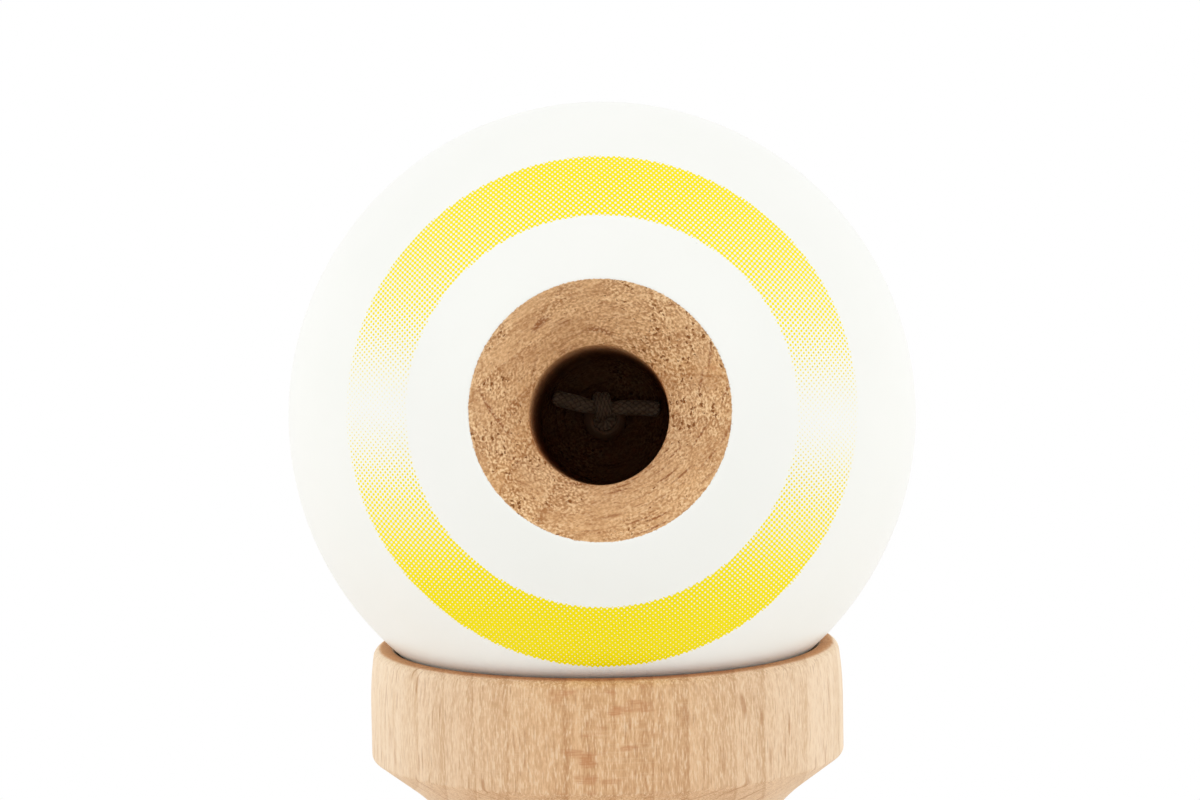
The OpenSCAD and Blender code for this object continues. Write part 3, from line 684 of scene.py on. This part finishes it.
for name, node_name, body, r, long, at, hang, plastic in (
        ("stop_bead_moulded", "stop_bead", "cord_end", 2.1, 3.0, stop_at, stop_hang,
         moulded_plastic("moulded_plastic_beige", "#C2A283", "#CCAD8E")),
        ("string_bead_moulded", "string_bead", "bead", 4.0, 6.4, string_at, (0.0, 0.0),
         moulded_plastic("moulded_plastic_white", "#E9E6DE", "#F1EFE8"))):
    bead = skin(name, ball_place(turned(bead_outline(r, long), 96) + [*hang, at]))
    bead.data.materials.append(plastic)
    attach(bead, body)
    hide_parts(node_name)

# Cord: about 0.37 m of thin braided polyester between its two knots. It comes out of the crosspiece's waist,
# lies in a loose loop behind the toy and goes up through the round bead into the ball, where it bunches to
# fill the small bead's hole.
cord_r, cord_exit, bead_foot, bunch, bunch_over = 0.8, 41.1, -17.5, 0.36, 1.5
ball_run_end, handle_run_from, handle_run_to = -13.2, -3.3, 8.1
exit_y, exit_z = cord_exit * math.cos(ball_tilt), ball_high - cord_exit * math.sin(ball_tilt)
cord_route = np.array([
    [0, 8.25, handle_high], [0, 13, handle_high], [0, 18, handle_high - 0.6], [0.5, 23, 29],
    [1.5, 26, 19], [4, 28, 11], [10, 30, 3.6],
    [21, 31, 1], [36, 31, 1], [52, 31, 1], [68, 33, 1], [82, 39, 1], [90, 51, 1], [87, 65, 1],
    [75, 75, 1], [59, 77, 1], [44, 73, 1], [31, 67.5, 1], [19, 62.5, 1], [9, 59, 2.6], [3, 57, 8.5],
    [0.5, exit_y + 14.5, 18], [0, exit_y + 13.5, 31], [0, exit_y + 13, 46],
    [0, exit_y + 12.8, exit_z - 26], [0, exit_y + 11.6, exit_z - 13], [0, exit_y + 8, exit_z - 4.4],
    [0, exit_y + 3.6, exit_z - 0.8], [0, exit_y, exit_z],
])


def smooth_line(points, steps):
    """A smooth line through points: between b and c, with a before and d after,
    (2b + (c - a) u + (2a - 5b + 4c - d) uu + (3b - a - 3c + d) uuu) / 2 for u from 0 to 1."""
    p = np.vstack([2 * points[0] - points[1], points, 2 * points[-1] - points[-2]])
    a, b, c, d = (p[k:len(p) - 3 + k, None] for k in range(4))
    u = np.linspace(0, 1, steps, endpoint=False)[None, :, None]
    line = 0.5 * (2 * b + (c - a) * u + (2 * a - 5 * b + 4 * c - d) * u ** 2
                  + (3 * b - a - 3 * c + d) * u ** 3)
    return np.vstack([line.reshape(-1, 3), points[-1:]])


def tube(line, r, sides=16, aside=(1.0, 1.0, 1.0)):
    """A round tube: at each point of the line, a circle of radius r square to the line's direction. Both ends
    are closed by a round nose half as long as r."""
    r = np.broadcast_to(np.asarray(r, float), (len(line),))
    ahead = np.gradient(line, axis=0)
    ahead /= np.linalg.norm(ahead, axis=1, keepdims=True)
    over = np.cross(ahead, aside)
    over /= np.linalg.norm(over, axis=1, keepdims=True)
    side = np.cross(ahead, over)
    e = np.radians([90, 60, 30])
    rise = 0.5 * np.sin(e)[:, None]
    tail, head = line[0] - rise * r[0] * ahead[0], line[-1] + rise * r[-1] * ahead[-1]
    mid = np.vstack([tail, line, head[::-1]])
    size = np.concatenate([r[0] * np.cos(e), r, (r[-1] * np.cos(e))[::-1]])[:, None, None]
    over, side = (np.vstack([np.repeat(way[:1], 3, 0), way, np.repeat(way[-1:], 3, 0)])[:, None]
                  for way in (over, side))
    a = np.linspace(0, 2 * math.pi, sides, endpoint=False)[None, :, None]
    return mid[:, None] + size * (np.cos(a) * over + np.sin(a) * side)


def braided_polyester():
    """Ecru polyester, a round braid of 16 ends: strands 0.6 mm wide cross in diamonds 0.8 mm long, with
    painted shade in the gaps between them, and a soft sheen from the drawn filaments."""
    made, tree, surface = finish(
        "braided_polyester_ecru", {"Roughness": 0.7, "Sheen Weight": 0.3, "Sheen Roughness": 0.5})
    turn = node(tree, "SeparateXYZ", {0: node(tree, "UVMap", {}, uv_map="wrap")})
    round_way = node(tree, "Math", {0: turn.outputs[0], 1: 2 * math.pi * 8}, operation="MULTIPLY")
    long_way = node(tree, "Math", {0: turn.outputs[1], 1: 2 * math.pi / 0.8}, operation="MULTIPLY")
    round_wave = node(tree, "Math", {0: round_way}, operation="COSINE")
    long_wave = node(tree, "Math", {0: long_way}, operation="COSINE")
    weave = node(tree, "Math", {0: round_wave, 1: long_wave}, operation="ADD")
    weave = node(tree, "Math", {0: weave}, operation="ABSOLUTE")
    weave = node(tree, "MapRange", {0: weave, 1: 0.0, 2: 1.4}, interpolation_type="SMOOTHSTEP")
    place = node(tree, "TexCoord", {}).outputs["Object"]
    fluff = node(tree, "TexNoise", {"Vector": place, "Scale": 9000.0, "Detail": 2.0})
    # Painted shade: darker in the gaps between the strands.
    shade = node(tree, "Math", {0: fluff, 1: 0.35, 2: weave}, operation="MULTIPLY_ADD")
    tint = node(tree, "Mix", {0: shade, 6: linear("#BDA585"), 7: linear("#E8D5B9")}, data_type="RGBA")
    tree.links.new(tint.outputs[2], surface.inputs["Base Color"])
    felt = node(tree, "Bump", {"Height": weave, "Strength": 0.7, "Distance": 0.00012})
    tree.links.new(felt.outputs[0], surface.inputs["Normal"])
    return made


cord_finish = braided_polyester()
cord_line = smooth_line(cord_route, 28)
cord = skin("cord_braided", tube(cord_line, cord_r))
cord.data.materials.append(cord_finish)
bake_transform(cord)
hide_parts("cord")

up_hole = np.linspace(-cord_exit + 0.1, ball_run_end, 90)
in_bead = np.clip((up_hole - bead_foot) / bunch_over, 0, 1)
ball_run = ball_place(np.column_stack([in_bead[:, None] * stop_hang, up_hole]))
ball_cord = skin("ball_cord_braided", tube(ball_run, cord_r + bunch * in_bead))
ball_cord.data.materials.append(cord_finish)
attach(ball_cord, "cord_end")
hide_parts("ball_cord")

handle_run = np.linspace([0.0, handle_run_from, handle_high], [0.0, handle_run_to, handle_high], 30)
handle_cord = skin("handle_cord_braided", tube(handle_run, cord_r))
handle_cord.data.materials.append(cord_finish)
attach(handle_cord, "handle")
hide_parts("handle_cord")

# Knots: the cord's two ends, each pulled tight round itself into a lump too big for its hole. The one in the
# ball lies on the small bead with its two ends sticking out to the sides; the one in the handle sits in a
# pocket.
squeezed_r, squeeze_long, wrap_r, wrap_turns, wrap_wide, wrap_high = 0.58, 2.4, 0.5, 1.6, 1.1, 1.52
wrap_round, ball_knot_at = 1.02, [0, 0.8, -13.25]
ball_knot_ends = [[-4.5, 0.96, 1.2], [-2.9, 0.55, 1.2], [-1.3, 0.1, 1.45], [0, -0.1, 1.52],
                  [1.3, -0.15, 1.45], [3.0, -0.1, 1.2], [5.4, -0.28, 1.2]]
handle_knot_ends = [[-1.9, 0.3, 1.2], [-1.2, 0.1, 1.35], [-0.4, 0.0, 1.5],
                    [0.4, 0.0, 1.5], [1.2, -0.1, 1.35], [1.9, -0.3, 1.2]]


def knot(scale, ends):
    """A tight hitch as two tubes, +Z away from the hole: a strand through the points of ends, and a strand
    that turns 1.6 times round it on a small helix. Both are squeezed thinner inside the knot."""
    through = smooth_line(np.array(ends, float), 16)
    free = np.clip(np.abs(through[:, 0]) / squeeze_long, 0, 1)
    strand_r = squeezed_r + (cord_r - squeezed_r) * free ** 2 * (3 - 2 * free)
    t = np.linspace(0, 1, 90)[:, None]
    a = math.radians(-90) + 2 * math.pi * wrap_turns * t
    turns = np.hstack([wrap_wide * (t - 0.5), wrap_round * np.cos(a), wrap_high + wrap_round * np.sin(a)])
    return [scale * tube(through, strand_r, 16, (0.1, 0.3, 1.0)),
            scale * tube(turns, wrap_r, 14, (1.0, 0.0, 0.0))]


ball_knot = skin("ball_knot_tied", *[
    ball_place(rows + ball_knot_at) for rows in knot(scale=1.0, ends=ball_knot_ends)])
ball_knot.data.materials.append(cord_finish)
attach(ball_knot, "cord_end")
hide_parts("ball_knot")

handle_knot = skin("handle_knot_tied", *[
    np.stack([rows[..., 0], -pocket_at - rows[..., 2], handle_high + rows[..., 1]], -1)
    for rows in knot(scale=1.15, ends=handle_knot_ends)])
handle_knot.data.materials.append(cord_finish)
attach(handle_knot, "handle")
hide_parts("handle_knot")

# Floor: a sheet of white card, 12 m wide, with its sizes in metres. Near the toy it takes the light and the
# shadow as card does, and further out it runs into plain white.
sheet_half, card_to, white_from = 6, 0.12, 0.26
card = bpy.data.meshes.new("white_card")
card.from_pydata([(x * sheet_half, y * sheet_half, 0) for x, y in ((-1, -1), (1, -1), (1, 1), (-1, 1))],
                 [], [(0, 1, 2, 3)])
floor = bpy.data.objects.new("floor", card)
bpy.context.scene.collection.objects.link(floor)
made, tree, surface = finish("white_card", {"Base Color": linear("#FAFAF9"), "Roughness": 0.9})
seen = node(tree, "LightPath", {}).outputs
shown = node(tree, "Math", {0: seen["Is Camera Ray"], 1: seen["Is Glossy Ray"]}, operation="MAXIMUM")
shown = node(tree, "Math", {0: shown, 1: seen["Is Transmission Ray"]}, operation="MAXIMUM")
place = node(tree, "TexCoord", {}).outputs["Object"]
away = node(tree, "VectorMath", {0: place}, operation="LENGTH").outputs["Value"]
away = node(tree, "MapRange", {0: away, 1: card_to, 2: white_from}, interpolation_type="SMOOTHSTEP")
share = node(tree, "Math", {0: shown, 1: away}, operation="MULTIPLY")
white = node(tree, "Emission", {0: (1, 1, 1, 1), 1: 1.0})
mixed = node(tree, "MixShader", {0: share, 1: surface, 2: white})
tree.links.new(mixed.outputs[0], tree.nodes["Material Output"].inputs["Surface"])
card.materials.append(made)

# Light: a white tent with the dark room behind the camera showing through its opening, and a tall soft lamp
# shining through the cloth on each side of the camera. Its sizes are in metres and its power in watts.
lamp_wide, lamp_tall, lamp_power, lamp_away, lamp_rise = 0.35, 0.75, 1.45, 0.85, math.radians(32.0)
room = bpy.data.worlds.new("white_tent")
room.use_nodes = True
bpy.context.scene.world = room
tree = room.node_tree
way = node(tree, "TexCoord", {}).outputs["Generated"]
facing = node(tree, "VectorMath", {0: way, 1: tuple(to_eye)}, operation="DOT_PRODUCT").outputs["Value"]
opening = node(tree, "MapRange", {0: facing, 1: 0.45, 2: 0.95, 3: 1.0, 4: 0.40},
               interpolation_type="SMOOTHSTEP")
roof = node(tree, "SeparateXYZ", {0: way}).outputs[2]
roof = node(tree, "MapRange", {0: roof, 1: 0.3, 2: 1.0, 3: 1.01, 4: 0.87})
glow = node(tree, "Math", {0: opening, 1: roof}, operation="MULTIPLY")
seen = node(tree, "LightPath", {}).outputs
glow = node(tree, "Mix", {0: seen["Is Camera Ray"], 2: glow, 3: 1.0})
tree.links.new(glow.outputs[0], tree.nodes["Background"].inputs["Strength"])
tree.nodes["Background"].inputs["Color"].default_value = (1, 1, 1, 1)
for name, azimuth in (("left_lamp", math.radians(-54.0)), ("right_lamp", math.radians(54.0))):
    lamp = bpy.data.lights.new(name, "AREA")
    lamp.shape, lamp.size, lamp.size_y = "RECTANGLE", lamp_wide, lamp_tall
    lamp.energy = lamp_power
    stand = bpy.data.objects.new(name, lamp)
    back = np.array([math.sin(azimuth) * math.cos(lamp_rise), -math.cos(azimuth) * math.cos(lamp_rise),
                     math.sin(lamp_rise)])
    level = np.array([math.cos(azimuth), math.sin(azimuth), 0.0])
    stand.matrix_world = placed(level, np.cross(back, level), back, ball_middle + lamp_away * back)
    bpy.context.scene.collection.objects.link(stand)

bpy.context.scene.view_settings.view_transform = "Standard"
